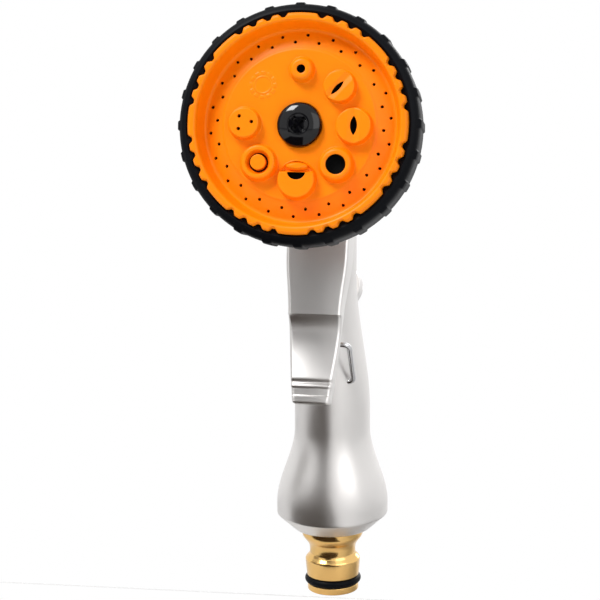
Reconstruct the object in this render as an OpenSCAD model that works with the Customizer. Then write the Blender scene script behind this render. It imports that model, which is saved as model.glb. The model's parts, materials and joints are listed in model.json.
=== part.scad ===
// Hose spray nozzle: a turning pattern dial on a die-cast pistol body with a
// front trigger, a wire lock bail and a brass quick-connect hose plug.
// Shapes are laid out from the spray axis: +Y runs back from the dial's front
// rim, +Z up, +X to the right seen from the front. placed() then moves them
// to the part's origin, the middle of the hose plug's nose.

/* [Dial] */
// Diameter of the rubber grip ring
ring_d = 72; // [66:0.5:88]
// Depth of the rubber grip ring, front to back
ring_depth = 15.7; // [14:0.1:18]
// Number of lugs round the grip ring
lug_count = 24; // [12:1:36]
// How far a lug stands proud of the ring
lug_height = 0.7; // [0.3:0.1:1.2]
// Diameter of the face's front rim
rim_d = 65.8; // [62:0.2:66]
// Diameter of the face's raised middle
plateau_d = 46.2; // [44:0.2:48]
// Depth of the raised middle below the front rim
plateau_depth = 5; // [4:0.1:5.5]
// Depth of the trough round the shower holes
trough_depth = 7; // [6.2:0.1:7.4]
// Diameter of the circle of pattern outlets
outlet_circle_d = 32.8; // [31:0.2:34]
// Height of the pattern bosses
boss_height = 2.9; // [2:0.1:3.2]
// Diameter of one shower hole
shower_hole_d = 0.8; // [0.5:0.1:1.2]
// Shower holes in each ring
shower_holes = 22; // [12:1:26]
// Diameter of the domed face screw
face_screw_d = 12.9; // [11.5:0.1:14]
// Diameter of the spindle that the dial turns on
spindle_d = 8; // [6:0.5:9]

/* [Body] */
// Diameter of the head behind the dial
head_d = 55; // [53:0.5:62]
// Width of the barrel at its rear
barrel_w = 23; // [21:0.5:27]
// Width of the throat behind the trigger
throat_w = 14.8; // [14.4:0.2:18]
// Front-to-back depth of the throat
throat_depth = 24.8; // [24:0.2:29]
// Width of the grip's neck
neck_w = 23.6; // [21:0.2:28]
// Front-to-back depth of the grip's neck
neck_depth = 27; // [25:0.5:32]
// Diameter of the flared foot
foot_d = 35; // [31:0.5:42]
// Length of the grip axis from the spray axis to the foot's end
grip_length = 120.2; // [110:0.2:143]
// How far the grip leans back from upright, degrees
grip_lean = 16.5; // [14:0.5:18]
// Diameter of the water passage in the barrel
barrel_bore_d = 13; // [10:0.5:14]

/* [Trigger] */
// Width of the trigger at its pivot
trigger_top_w = 19.2; // [18.4:0.2:23]
// Width of the trigger at its tip
trigger_tip_w = 11.3; // [10:0.1:13]
// Drop from the pivot to the trigger's tip
trigger_drop = 55; // [50:0.5:57]
// Thickness of the trigger's side walls
trigger_wall = 2; // [1.5:0.1:2.4]
// Diameter of the pivot pin
pin_d = 3; // [2.5:0.1:4]
// Swing of the trigger, degrees
trigger_swing = 17; // [12:1:18]

/* [Valve] */
// Diameter of the valve stem
stem_d = 4; // [3:0.1:4.8]
// Drop from the trigger's pivot to the valve's axis
valve_drop = 15; // [13:0.5:16]
// Diameter of the valve chamber
chamber_d = 12.4; // [11.4:0.1:12.8]
// Bore of the valve seat
seat_bore_d = 6.8; // [6:0.1:8]

/* [Lock bail] */
// Diameter of the bail's wire
wire_d = 1.6; // [1.2:0.1:2]
// Reach of the bail from its pivot to its crossbar
bail_reach = 16.8; // [15.5:0.1:17.2]
// Angle of the resting bail above level, degrees
bail_rise = 39; // [35:1:42]

/* [Hose plug] */
// Diameter of the plug's collar
collar_d = 17.3; // [16.8:0.1:18]
// Diameter of the plug's nose
nose_d = 16.1; // [15.6:0.1:16.8]
// Bore of the plug
plug_bore_d = 11; // [8:0.5:11.6]
// Diameter of the plug's thread
plug_thread_d = 15; // [14.4:0.1:17]
// Outer diameter of the O-ring
o_ring_d = 17.75; // [17.4:0.05:18.4]
// Section of the O-ring
o_ring_section = 2.35; // [2:0.05:2.4]
// How far the plug leans back from upright, degrees
plug_lean = 20.5; // [16:0.5:21]

/* [Fits] */
// Radial clearance of parts that turn or slide
running_gap = 0.05; // [0.02:0.01:0.09]
// Gap between still parts that seat on each other
seat_gap = 0.02; // [0.01:0.01:0.05]
// Side clearance between moving parts
side_gap = 0.3; // [0.2:0.05:0.4]

/* [Hidden] */
$fn = 64;
tiny = 0.01;

// Dial, from front to back
ring_r = ring_d / 2;
rim_r = rim_d / 2;
plateau_r = plateau_d / 2;
outlet_r = outlet_circle_d / 2;
skirt_wall = 2.6;
trough_r = rim_r - 4;
face_back = trough_depth + 2.2;
chamber_plate_t = 6;
chamber_back = face_back + chamber_plate_t;
pocket_depth = 3.5;
pocket_r = 4.4;
port_r = 3.2;
shower_outer_r = plateau_r + 3.9;
shower_inner_r = plateau_r + 1.8;
hub_r = spindle_d / 2 + running_gap;
ring_front = 1.2;
notch_r = 1;
notch_angles = [-12.3, -4.1, 4.1, 12.3];
lug_w = 2.8;
lug_front = 6.5;
lug_first = 2;
cone_angle = -135;
cone_pin_r = 2.3;
shower_angle = 135;

// Face screw and its washer
washer_t = 0.8;
washer_r = face_screw_d / 2 - 0.6;
screw_well_r = face_screw_d / 2 + side_gap;
spindle_front = plateau_depth + 1;
screw_thread_r = spindle_d / 4;
screw_rise = 3.6;
screw_flat_r = 3.2;
dial_float = 0.2;

// Fixed outlet plate and what it carries
plate_front = chamber_back + 0.4;
plate_t = 7.3;
plate_back = plate_front + plate_t;
head_front = plate_front + 2.9;
head_r = head_d / 2;
plate_r = head_r - 2.6;
seal_bore_r = 3.6;
seal_r = 5.4;
seal_gap = 0.05;
seal_length = 3.4;
seal_well_depth = plate_t - 1;
detent_circle_r = 20;
detent_angle = 225;
ball_r = 1.5;
ball_gap = 0.1;
plate_screw_circle_r = 20.5;
plate_screw_angles = [30, 150, 270];
plate_screw_r = 1.4;
plate_screw_head_r = 2.6;
plate_screw_length = 11.5;
plate_groove_front = plate_front + 4.2;
plate_groove_w = 1.9;
plate_groove_depth = 1.5;

// Body skin: barrel, bend and grip
grip_back = 67.5;
bend_y = 54;
bend_z = -24;
bend_r = 20;
plug_flange_r = 9.7;
barrel_half_w = barrel_w / 2;
barrel_half_h = barrel_half_w + 2.3;
barrel_drop = bend_z + bend_r;
barrel_bore_z = barrel_drop / 2;
cone_start = head_front + 2.5;
cone_end = 42;
foot_cone = 4.7;
foot_end_r = plug_flange_r + 2.5;
foot_end = [grip_back + grip_length * sin(grip_lean), -grip_length * cos(grip_lean)];
skin_sides = 40;

// Trigger
pivot_y = 54;
pivot_z = -25;
lug_r = 3.8;
lug_half_w = trigger_top_w / 2 - trigger_wall - 1;
trigger_front = 47;
trigger_plate = 2.5;
trigger_back = 52.6;
ear_r = 4.8;
tip_z = pivot_z - trigger_drop;
crease_z = tip_z + 27.3;
recess_depth = 3;

// Valve along its own level axis
valve_z = pivot_z - valve_drop;
throat_front = grip_back - valve_z * tan(grip_lean) - throat_depth / 2 / cos(grip_lean);
throat_back = throat_front + throat_depth / cos(grip_lean);
gland_front = throat_front - 4.5;
gland_head_t = 2.7;
gland_length = 7.5;
gland_r = 4.2;
gland_af = 10;
gland_boss_r = 6.2;
stem_seal_t = 2.2;
seal_end = gland_front + gland_length + stem_seal_t;
seat_front = seal_end + 6.5;
seat_t = 2;
seat_back = seat_front + seat_t;
chamber_r = chamber_d / 2;
valve_washer_t = 1.6;
stem_flange_t = 1.5;
stem_flange_r = 4.4;
stem_r = stem_d / 2;
nut_t = 1.6;
nut_r = 3.2;
stem_tip = trigger_front + trigger_plate + 0.4 + running_gap;
stem_travel = valve_drop * tan(trigger_swing);
cap_front = seat_back + valve_washer_t + stem_flange_t + 0.9 + stem_travel;
cap_boss_back = throat_back + 1.2;
cap_boss_r = throat_w / 2;
cap_head_t = 3;
cap_pocket_r = 4.7;
cap_floor = 1.6;
front_passage_r = 3.2;
inlet_passage_r = 4.5;

// Lock bail
bail_y = 78;
bail_z = -71;
wire_r = wire_d / 2;
bail_seat_x = 7.5;
bail_seat_r = 3.2;
bail_arm_x = bail_seat_x + 0.1 + wire_r;
bail_end_x = 4.3;
bend_wire_r = 1.8;

// Hose plug, measured down its axis from the foot's end
flange_end = 2.7;
flare_end = 6;
neck_end = 9;
neck_r = 7.2;
collar_start = 10.7;
groove_start = 16.3;
groove_w = 2.6;
nose_start = groove_start + groove_w;
nose_length = 2.2;
nose_chamfer = 0.3;
thread_length = 14;
plug_washer_t = 1.8;
filter_t = 2.2;
nose_middle = nose_start + (nose_length - nose_chamfer) / 2;
origin_y = foot_end[0] + nose_middle * sin(plug_lean);
origin_z = foot_end[1] - nose_middle * cos(plug_lean);

// Smooth step from 0 at a to 1 at b
function ease(x, a, b) =
    let (t = min(1, max(0, (x - a) / (b - a)))) t * t * (3 - 2 * t);

// One ring of the body's skin: [y, z, tilt, half width, half depth]
function barrel_ring(y) =
    let (flare = 1 - ease(y, cone_start, cone_end))
    [y, barrel_drop * ease(y, 25, bend_y), 0,
     barrel_half_w + (head_r - barrel_half_w) * flare,
     barrel_half_h + (head_r - barrel_half_h) * flare];

function bend_ring(tilt) =
    let (t = ease(tilt, 0, 90 - grip_lean))
    [bend_y + bend_r * sin(tilt), bend_z + bend_r * cos(tilt), tilt,
     barrel_half_w + (throat_w / 2 - barrel_half_w) * t,
     barrel_half_h + (throat_depth / 2 - barrel_half_h) * t];

function grip_ring_at(s) =
    let (
        neck = ease(s, 40, 82),
        foot = ease(s, grip_length - 32, grip_length - 8),
        edge = max(0, (s - grip_length + foot_cone) / foot_cone),
        tuck = (foot_d / 2 - foot_end_r) * edge,
        w = throat_w / 2 + (neck_w - throat_w) / 2 * neck + (foot_d - neck_w) / 2 * foot - tuck,
        d = throat_depth / 2 + (neck_depth - throat_depth) / 2 * neck
            + (foot_d - neck_depth) / 2 * foot - tuck,
        tilt = 90 - grip_lean - (plug_lean - grip_lean) * ease(s, grip_length - 20, grip_length)
    )
    [grip_back + s * sin(grip_lean), -s * cos(grip_lean), tilt, w, d];

bend_end_s = -(bend_z + bend_r * sin(grip_lean)) / cos(grip_lean);
skin_rings = concat(
    [for (i = [0:13]) barrel_ring(head_front + (bend_y - head_front) * i / 14)],
    [for (i = [0:11]) bend_ring((90 - grip_lean) * i / 12)],
    [for (i = [0:27]) grip_ring_at(bend_end_s + (grip_length - foot_cone - bend_end_s) * i / 28)],
    [for (i = [0:2]) grip_ring_at(grip_length - foot_cone * (1 - i / 2))]
);

function ring_point(ring, angle) =
    [ring[3] * cos(angle),
     ring[0] + ring[4] * sin(angle) * sin(ring[2]),
     ring[1] + ring[4] * sin(angle) * cos(ring[2])];

// Closed skin through rings of equal point count, capped flat at both ends
module skin(rings, sides) {
    points = [for (ring = rings) for (i = [0:sides - 1]) ring_point(ring, 360 * i / sides)];
    last = (len(rings) - 1) * sides;
    walls = [
        for (k = [0:len(rings) - 2]) for (i = [0:sides - 1])
            let (j = (i + 1) % sides, a = k * sides)
            each [[a + i, a + j, a + sides + j], [a + i, a + sides + j, a + sides + i]]
    ];
    front_cap = [for (i = [sides - 1:-1:0]) i];
    end_cap = [for (i = [0:sides - 1]) last + i];
    polyhedron(points, concat(walls, [front_cap, end_cap]));
}

module placed() translate([0, -origin_y, -origin_z]) children();

// Local +Z becomes +Y (back), starting at depth y
module along_y(y = 0, z = 0) translate([0, y, z]) rotate([-90, 0, 0]) children();

// Local +Z becomes +X, centred on the middle plane at (y, z)
module across_x(y, z) translate([0, y, z]) rotate([0, 90, 0]) children();

// Flat outline in X and Z, carried back from depth y by length
module front_plate(y, length)
    translate([0, y + length, 0]) rotate([90, 0, 0]) linear_extrude(length) children();

// Side outline in Y and Z, width across X about the middle plane
module side_plate(width)
    translate([-width / 2, 0, 0]) rotate([90, 0, 90]) linear_extrude(width) children();

// Turns children to an angle on the dial, anticlockwise from +X seen from the front
module at_angle(angle, radius = 0) rotate([0, -angle, 0]) translate([radius, 0, 0]) children();

// Down the plug's axis from the foot's end
module on_plug() translate([0, foot_end[0], foot_end[1]]) rotate([180 + plug_lean, 0, 0]) children();

module torus(radius, section_r) rotate_extrude() translate([radius, 0]) circle(section_r, $fn = 24);

// Helical spring along +Z with flat-cut ends, swept ring by ring
module coil_spring(radius, wire_r, turns, length) {
    steps = turns * 14;
    sides = 6;
    rise = length - 2 * wire_r;
    points = [
        for (k = [0:steps]) for (i = [0:sides - 1])
            let (
                a = 360 * turns * k / steps,
                b = 360 * i / sides,
                r = radius + wire_r * cos(b)
            )
            [r * cos(a), r * sin(a), wire_r + rise * k / steps + wire_r * sin(b)]
    ];
    walls = [
        for (k = [0:steps - 1]) for (i = [0:sides - 1])
            let (j = (i + 1) % sides, a = k * sides)
            each [[a + i, a + sides + j, a + j], [a + i, a + sides + i, a + sides + j]]
    ];
    first = [for (i = [0:sides - 1]) i];
    last = [for (i = [sides - 1:-1:0]) steps * sides + i];
    polyhedron(points, concat(walls, [first, last]));
}

module slot_2d(length, width) {
    square([length - width, width], center = true);
    for (s = [-1, 1]) translate([s * (length - width) / 2, 0]) circle(width / 2);
}

// Lens shape where two circles overlap
module eye_2d(length, width) {
    r = (length * length / 4 + width * width / 4) / width;
    intersection() {
        translate([r - width / 2, 0]) circle(r);
        translate([width / 2 - r, 0]) circle(r);
    }
}

// --- Dial ---

module rim_notches(radius, front, depth)
    for (k = [0:7]) for (a = notch_angles)
        at_angle(22.5 + 45 * k + a, rim_r) along_y(front) cylinder(h = depth, r = radius, $fn = 24);

// One boss on the face, drafted to its top
module boss(angle, radius)
    at_angle(angle, outlet_r) along_y(plateau_depth - boss_height)
        cylinder(h = boss_height + tiny, r1 = radius - 0.4, r2 = radius);

// A through cut of an outline at a place on the outlet circle, kept upright
module outlet_cut(angle, front = -1, back = 20)
    translate([outlet_r * cos(angle), 0, outlet_r * sin(angle)])
        front_plate(front, back - front) children();

module face_blank() along_y() rotate_extrude() polygon([
    [hub_r, plateau_depth + 1 + dial_float], [screw_well_r, plateau_depth + 1 + dial_float],
    [screw_well_r, plateau_depth], [plateau_r - 0.6, plateau_depth],
    [plateau_r, plateau_depth + 0.4], [trough_r - 0.8, trough_depth],
    [trough_r, trough_depth - 0.2], [trough_r + 1.5, 0.6],
    [trough_r + 2, 0], [rim_r - 0.7, 0], [rim_r, 0.7],
    [rim_r, chamber_back - 0.7], [rim_r - skirt_wall, chamber_back - 0.7],
    [rim_r - skirt_wall, face_back], [hub_r, face_back]
]);

module spray_face() color("darkorange") placed() difference() {
    union() {
        face_blank();
        boss(90, 3.75);
        boss(45, 4.9);
        boss(0, 5.5);
        boss(-45, 5.2);
        boss(-90, 5.6);
        boss(cone_angle, 5.4);
        boss(180, 4.85);
        at_angle(shower_angle, outlet_r) along_y(plateau_depth - 0.25) difference() {
            cylinder(h = 0.3, r = 4.6);
            translate([0, 0, -1]) cylinder(h = 3, r = 2.1);
        }
        translate([0, 0, outlet_r * sin(-90) + 1.7]) front_plate(1.4, 2) slot_2d(6.4, 2.2);
    }
    rim_notches(notch_r, -1, ring_front + 3);
    outlet_cut(90) circle(1.3);
    outlet_cut(45) rotate(-45) eye_2d(4.8, 1.3);
    outlet_cut(0) eye_2d(5.6, 2);
    outlet_cut(-45) circle(3);
    outlet_cut(-90) intersection() {
        circle(2.4);
        translate([-3, -3]) square([6, 3.4]);
    }
    at_angle(cone_angle, outlet_r) along_y(-1) cylinder(h = 20, r = cone_pin_r + 0.45);
    at_angle(cone_angle, outlet_r) along_y(-1)
        cylinder(h = 1 + plateau_depth - boss_height + 1, r = 3.7);
    for (a = [8, 128, 248])
        outlet_cut(180) rotate(a) translate([2.35, 0]) circle(0.45, $fn = 24);
    for (k = [0:shower_holes - 1]) {
        pitch = 360 / shower_holes;
        at_angle(88 + pitch * k, shower_outer_r) along_y(-1)
            cylinder(h = 20, r = shower_hole_d / 2, $fn = 16);
        at_angle(88 + pitch * (k + 0.5), shower_inner_r) along_y(-1)
            cylinder(h = 20, r = shower_hole_d / 2, $fn = 16);
    }
}

module grip_ring() color("#14161a") placed() {
    along_y() rotate_extrude() polygon([
        [rim_r + seat_gap, ring_front + 0.6], [rim_r + 0.8, ring_front],
        [ring_r - 0.9, ring_front + 1], [ring_r - 0.2, ring_front + 2],
        [ring_r, ring_front + 3.4], [ring_r, ring_front + 5],
        [ring_r - 0.6, ring_front + ring_depth - 1], [ring_r - 1.4, ring_front + ring_depth],
        [rim_r + seat_gap, ring_front + ring_depth]
    ]);
    for (k = [0:lug_count - 1])
        at_angle(lug_first + 360 / lug_count * k, ring_r - 1)
            translate([0, lug_front, -lug_w / 2]) cube([1 + lug_height, ring_depth - 6.5, lug_w]);
    rim_notches(notch_r - seat_gap, ring_front + 0.8, 1.1);
}

module chamber_plate() color("#3a3d40") placed() difference() {
    along_y(face_back + seat_gap) rotate_extrude() polygon([
        [hub_r, 0], [rim_r - skirt_wall - seat_gap, 0],
        [rim_r - skirt_wall - seat_gap, chamber_plate_t - seat_gap],
        [hub_r, chamber_plate_t - seat_gap]
    ]);
    along_y(face_back - 1) difference() {
        cylinder(h = 1 + pocket_depth, r = shower_outer_r + 1);
        translate([0, 0, -1]) cylinder(h = 3 + pocket_depth, r = shower_inner_r - 1);
    }
    for (k = [0:7]) at_angle(45 * k, outlet_r) {
        along_y(face_back - 1) cylinder(h = 1 + pocket_depth, r = pocket_r);
        along_y(face_back - 1) cylinder(h = chamber_plate_t + 3, r = port_r);
    }
    at_angle(shower_angle, outlet_r) translate([0, face_back - 1, -2.2])
        cube([shower_inner_r - outlet_r, 1 + pocket_depth, 4.4]);
    for (k = [0:7]) at_angle(detent_angle + 45 * k, detent_circle_r)
        translate([0, chamber_back + ball_r - 0.5, 0]) sphere(ball_r);
}

module cone_insert() color("darkorange") placed() at_angle(cone_angle, outlet_r) {
    along_y(plateau_depth - boss_height) cylinder(h = face_back + 0.5 - plateau_depth + boss_height,
        r = cone_pin_r);
    along_y(face_back + seat_gap) difference() {
        cylinder(h = 1.4, r = pocket_r - seat_gap);
        for (a = [0, 120, 240]) rotate(a) translate([3.2, 0, -1]) cylinder(h = 4, r = 0.8, $fn = 24);
    }
}

// --- Spindle and fixed outlet plate ---

module face_screw() color("#101114") placed() difference() {
    union() {
        along_y(spindle_front - washer_t - screw_rise) rotate_extrude() polygon([
            [0, 0.2], [screw_flat_r - 0.3, 0], [screw_flat_r, 0.2],
            [face_screw_d / 2 * 0.86, 1.5], [face_screw_d / 2, 2.8],
            [face_screw_d / 2, screw_rise], [0, screw_rise]
        ]);
        along_y(spindle_front - washer_t - tiny) cylinder(h = 11, r = screw_thread_r - running_gap);
    }
    for (a = [40, 130]) rotate([0, -a, 0])
        translate([-2.4, spindle_front - washer_t - screw_rise - 1, -0.5]) cube([4.8, 2.8, 1]);
}

module screw_washer() color("silver") placed() along_y(spindle_front - washer_t + seat_gap)
    difference() {
        cylinder(h = washer_t - 2 * seat_gap, r = washer_r);
        translate([0, 0, -1]) cylinder(h = 3, r = screw_thread_r + running_gap);
    }

module spindle() color("goldenrod") placed() difference() {
    union() {
        along_y(spindle_front) cylinder(h = plate_back - spindle_front, r = spindle_d / 2);
        along_y(plate_back - 2) cylinder(h = 2, r = spindle_d / 2 + 2.2);
    }
    along_y(spindle_front - 1) cylinder(h = 13, r = screw_thread_r);
}

module outlet_plate() color("#5a5d60") placed() difference() {
    along_y(plate_front) cylinder(h = plate_t, r = plate_r);
    along_y(plate_front - 1) cylinder(h = plate_t + 2, r = spindle_d / 2 + seat_gap);
    along_y(plate_back - 2 - seat_gap) cylinder(h = 4, r = spindle_d / 2 + 2.2 + seat_gap);
    at_angle(90, outlet_r) {
        along_y(plate_front - 1) cylinder(h = 1 + seal_well_depth, r = seal_r + seat_gap);
        along_y(plate_front - 1) cylinder(h = plate_t + 2, r = seal_bore_r);
    }
    at_angle(detent_angle, detent_circle_r) along_y(plate_front - 1)
        cylinder(h = 7, r = ball_r + running_gap);
    for (a = plate_screw_angles) at_angle(a, plate_screw_circle_r) {
        along_y(plate_front - 1) cylinder(h = plate_t + 2, r = plate_screw_r + 0.2);
        along_y(plate_front - 1) cylinder(h = 3.1, r = plate_screw_head_r + 0.2);
    }
    along_y(plate_groove_front) difference() {
        cylinder(h = plate_groove_w, r = plate_r + 1);
        translate([0, 0, -1]) cylinder(h = 4, r = plate_r - plate_groove_depth);
    }
}

module plate_o_ring() color("black") placed()
    along_y(plate_groove_front + plate_groove_w / 2)
        torus(plate_r - plate_groove_depth / 2, plate_groove_depth / 2 - seat_gap);

module plate_screws() color("silver") placed()
    for (a = plate_screw_angles) at_angle(a, plate_screw_circle_r) difference() {
        union() {
            along_y(plate_front + 0.1) cylinder(h = 2 - seat_gap, r = plate_screw_head_r);
            along_y(plate_front + 0.1) cylinder(h = plate_screw_length, r = plate_screw_r);
        }
        along_y(plate_front - 1) cylinder(h = 2.2, r = 1.1, $fn = 6);
    }

module port_seal() color("black") placed() at_angle(90, outlet_r) along_y(chamber_back + seal_gap)
    difference() {
        cylinder(h = seal_length, r = seal_r - running_gap);
        translate([0, 0, -1]) cylinder(h = seal_length + 2, r = seal_bore_r);
    }

module seal_spring() color("silver") placed() at_angle(90, outlet_r)
    along_y(chamber_back + seal_gap + seal_length)
        coil_spring(seal_bore_r + 0.9, 0.4, 3,
            plate_front + seal_well_depth - chamber_back - seal_gap - seal_length);

module detent_ball() color("silver") placed() at_angle(detent_angle, detent_circle_r)
    translate([0, chamber_back + ball_gap + ball_r, 0]) sphere(ball_r);

module detent_spring() color("silver") placed() at_angle(detent_angle, detent_circle_r)
    along_y(chamber_back + ball_gap + 2 * ball_r) coil_spring(1.1, 0.25, 4, 3);

// --- Body ---

module pivot_lug() difference() {
    union() {
        across_x(pivot_y, pivot_z) cylinder(h = 2 * lug_half_w, r = lug_r, center = true);
        translate([-lug_half_w, pivot_y - lug_r, pivot_z]) cube([2 * lug_half_w, 2 * lug_r, 12]);
    }
    across_x(pivot_y, pivot_z) cylinder(h = 40, r = pin_d / 2, center = true);
}

// Water way up the front of the throat, from valve to barrel
module front_passage() translate([0, seat_front - 3.1, valve_z]) rotate([grip_lean, 0, 0])
    cylinder(h = -valve_z - 5, r = front_passage_r);

// Water way up the grip, from the plug to the valve chamber
module inlet_passage() {
    low_y = foot_end[0] - (thread_length + 4) * sin(plug_lean);
    low_z = foot_end[1] + (thread_length + 4) * cos(plug_lean);
    high_y = seat_back + 4.5;
    rise = valve_z - low_z;
    lean = atan((low_y - high_y) / rise);
    translate([0, low_y, low_z]) rotate([lean, 0, 0])
        cylinder(h = rise / cos(lean), r = inlet_passage_r);
}

module body_casting() color("#c8c8c6") placed() difference() {
    union() {
        skin(skin_rings, skin_sides);
        pivot_lug();
        along_y(throat_front - 1.7, valve_z) cylinder(h = 8, r = gland_boss_r);
        along_y(throat_back - 6, valve_z) cylinder(h = cap_boss_back - throat_back + 6, r = cap_boss_r);
    }
    along_y(head_front - 1) cylinder(h = plate_back - head_front + 1, r = plate_r + seat_gap);
    along_y(plate_back - 1, barrel_bore_z) cylinder(h = bend_y + 11 - plate_back, r = barrel_bore_d / 2);
    translate([0, plate_back - 1, 0]) hull() {
        at_angle(90, outlet_r) along_y() cylinder(h = 3, r = seal_bore_r + 0.4, $fn = 32);
        along_y(0, barrel_bore_z) cylinder(h = 6, r = barrel_bore_d / 2 - 1, $fn = 32);
    }
    for (a = plate_screw_angles) at_angle(a, plate_screw_circle_r)
        along_y(plate_back - 1) cylinder(h = plate_screw_length - plate_t + 1.6, r = plate_screw_r);
    along_y(gland_front, valve_z) cylinder(h = gland_length + tiny, r = gland_r);
    along_y(gland_front + gland_length, valve_z) cylinder(h = stem_seal_t + tiny, r = gland_r);
    along_y(seal_end, valve_z) cylinder(h = 8, r = seat_bore_d / 2 + 1.4);
    along_y(seat_front, valve_z) cylinder(h = 40, r = chamber_r);
    along_y(cap_boss_back, valve_z) cylinder(h = 20, r = cap_boss_r + 0.2);
    front_passage();
    inlet_passage();
    on_plug() translate([0, 0, -thread_length - plug_washer_t - filter_t - 0.3])
        cylinder(h = 40, r = plug_thread_d / 2 + seat_gap);
    for (side = [-1, 1]) {
        translate([side * (bail_seat_x + 5), bail_y, bail_z]) rotate([0, 90, 0])
            cylinder(h = 10, r = bail_seat_r, center = true);
        translate([side * (bail_end_x - 0.3 + 5), bail_y, bail_z]) rotate([0, 90, 0])
            cylinder(h = 10, r = wire_r + running_gap, center = true);
        translate([side * (bail_arm_x - bend_wire_r - 0.1 + 5), bail_y, bail_z]) rotate([0, 90, 0])
            cylinder(h = 10, r = bend_wire_r - 0.1, center = true);
    }
}

module trigger_pin() color("silver") placed() across_x(pivot_y, pivot_z)
    cylinder(h = trigger_top_w + 0.8, r = pin_d / 2, center = true);

module gland_nut() color("goldenrod") placed() along_y(gland_front, valve_z) difference() {
    union() {
        cylinder(h = gland_length - seat_gap, r = gland_r);
        cylinder(h = gland_head_t, r = gland_af / sqrt(3), $fn = 6);
    }
    translate([0, 0, -1]) cylinder(h = gland_length + 2, r = stem_r + running_gap);
}

module stem_o_ring() color("black") placed()
    along_y(gland_front + gland_length + stem_seal_t / 2, valve_z)
        torus((gland_r + stem_r + running_gap) / 2, (gland_r - stem_r - running_gap) / 2 - seat_gap);

module valve_seat() color("goldenrod") placed() along_y(seat_front, valve_z) difference() {
    cylinder(h = seat_t, r = chamber_r);
    translate([0, 0, -1]) cylinder(h = seat_t + 2, r = seat_bore_d / 2);
}

module valve_spring() color("silver") placed()
    along_y(seat_back + valve_washer_t + nut_t + stem_flange_t + 3 * seat_gap, valve_z)
        coil_spring(cap_pocket_r - 1, 0.45, 5, cap_boss_back + cap_head_t - cap_floor
            - seat_back - valve_washer_t - nut_t - stem_flange_t - 4 * seat_gap);

module valve_cap() color("goldenrod") placed() difference() {
    union() {
        along_y(cap_front, valve_z) cylinder(h = cap_boss_back - cap_front, r = chamber_r - seat_gap);
        along_y(cap_boss_back + seat_gap, valve_z) cylinder(h = cap_head_t, r = cap_boss_r - 0.3);
        along_y(cap_boss_back - 1, valve_z) cylinder(h = 2, r = chamber_r - seat_gap);
    }
    along_y(cap_front - 1, valve_z)
        cylinder(h = cap_boss_back + cap_head_t - cap_floor - cap_front + 1, r = cap_pocket_r);
    along_y(cap_front + 2.4, valve_z) difference() {
        cylinder(h = 1.5, r = chamber_r + 1);
        translate([0, 0, -1]) cylinder(h = 4, r = chamber_r - 1.1);
    }
    translate([-10, cap_boss_back + cap_head_t - 1, valve_z - 0.6]) cube([20, 3, 1.2]);
}

module cap_o_ring() color("black") placed() along_y(cap_front + 3.15, valve_z)
    torus(chamber_r - 0.56, 0.5);

// --- Hose plug ---

module hose_plug() color("#c79a3e") placed() on_plug() rotate_extrude() polygon([
    [plug_bore_d / 2, -thread_length], [plug_thread_d / 2, -thread_length],
    [plug_thread_d / 2, seat_gap], [plug_flange_r, seat_gap], [plug_flange_r, flange_end],
    [neck_r, flare_end], [neck_r, neck_end],
    [collar_d / 2 - 0.5, collar_start - 0.6], [collar_d / 2, collar_start],
    [collar_d / 2 - 0.1, collar_start + 1.6], [collar_d / 2 - 0.45, groove_start],
    [o_ring_d / 2 - o_ring_section - seat_gap, groove_start],
    [o_ring_d / 2 - o_ring_section - seat_gap, nose_start],
    [nose_d / 2, nose_start], [nose_d / 2, nose_start + nose_length - nose_chamfer],
    [nose_d / 2 - nose_chamfer, nose_start + nose_length], [plug_bore_d / 2, nose_start + nose_length]
]);

module plug_o_ring() color("black") placed() on_plug()
    translate([0, 0, groove_start + groove_w / 2])
        torus(o_ring_d / 2 - o_ring_section / 2, o_ring_section / 2);

module plug_washer() color("black") placed() on_plug()
    translate([0, 0, -thread_length - plug_washer_t]) difference() {
        cylinder(h = plug_washer_t - seat_gap, r = plug_thread_d / 2);
        translate([0, 0, -1]) cylinder(h = 4, r = plug_bore_d / 2 - 0.3);
    }

module inlet_filter() color("white") placed() on_plug()
    translate([0, 0, -thread_length - plug_washer_t - filter_t]) difference() {
        cylinder(h = filter_t - seat_gap, r = plug_thread_d / 2);
        translate([0, 0, 0.6]) cylinder(h = 4, r = plug_bore_d / 2 - 0.3);
        translate([0, 0, -1]) for (k = [0:5]) rotate(60 * k) {
            translate([1.9, 0, 0]) cylinder(h = 4, r = 0.6, $fn = 16);
            rotate(30) translate([3.9, 0, 0]) cylinder(h = 4, r = 0.6, $fn = 16);
            translate([4.0, 0, 0]) cylinder(h = 4, r = 0.6, $fn = 16);
        }
    }

// --- Trigger ---

// Half width of the trigger at height z
function trigger_half_w(z) = z > crease_z
    ? trigger_top_w / 2 - 1.35 * ease(z, pivot_z - 9, crease_z)
    : trigger_top_w / 2 - 1.35
        - (trigger_top_w / 2 - 1.35 - trigger_tip_w / 2) * pow((crease_z - z) / (crease_z - tip_z), 1.3);

// Depth of the trigger's front at height z
function trigger_front_at(z) =
    z > crease_z ? trigger_front
    : trigger_front + recess_depth * pow(sin(180 * min(1, (crease_z - z) / 20.5)), 0.8);

trigger_heights = [for (i = [0:13]) crease_z - (crease_z - tip_z) * i / 13];

module trigger_front_outline(inset) {
    top = 12;
    heights = concat([pivot_z + top, pivot_z - 9, pivot_z - 15, pivot_z - 21], trigger_heights);
    polygon(concat(
        [for (z = heights) [trigger_half_w(z) - inset, z]],
        [for (i = [len(heights) - 1:-1:0]) [inset - trigger_half_w(heights[i]), heights[i]]]
    ));
}

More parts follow.
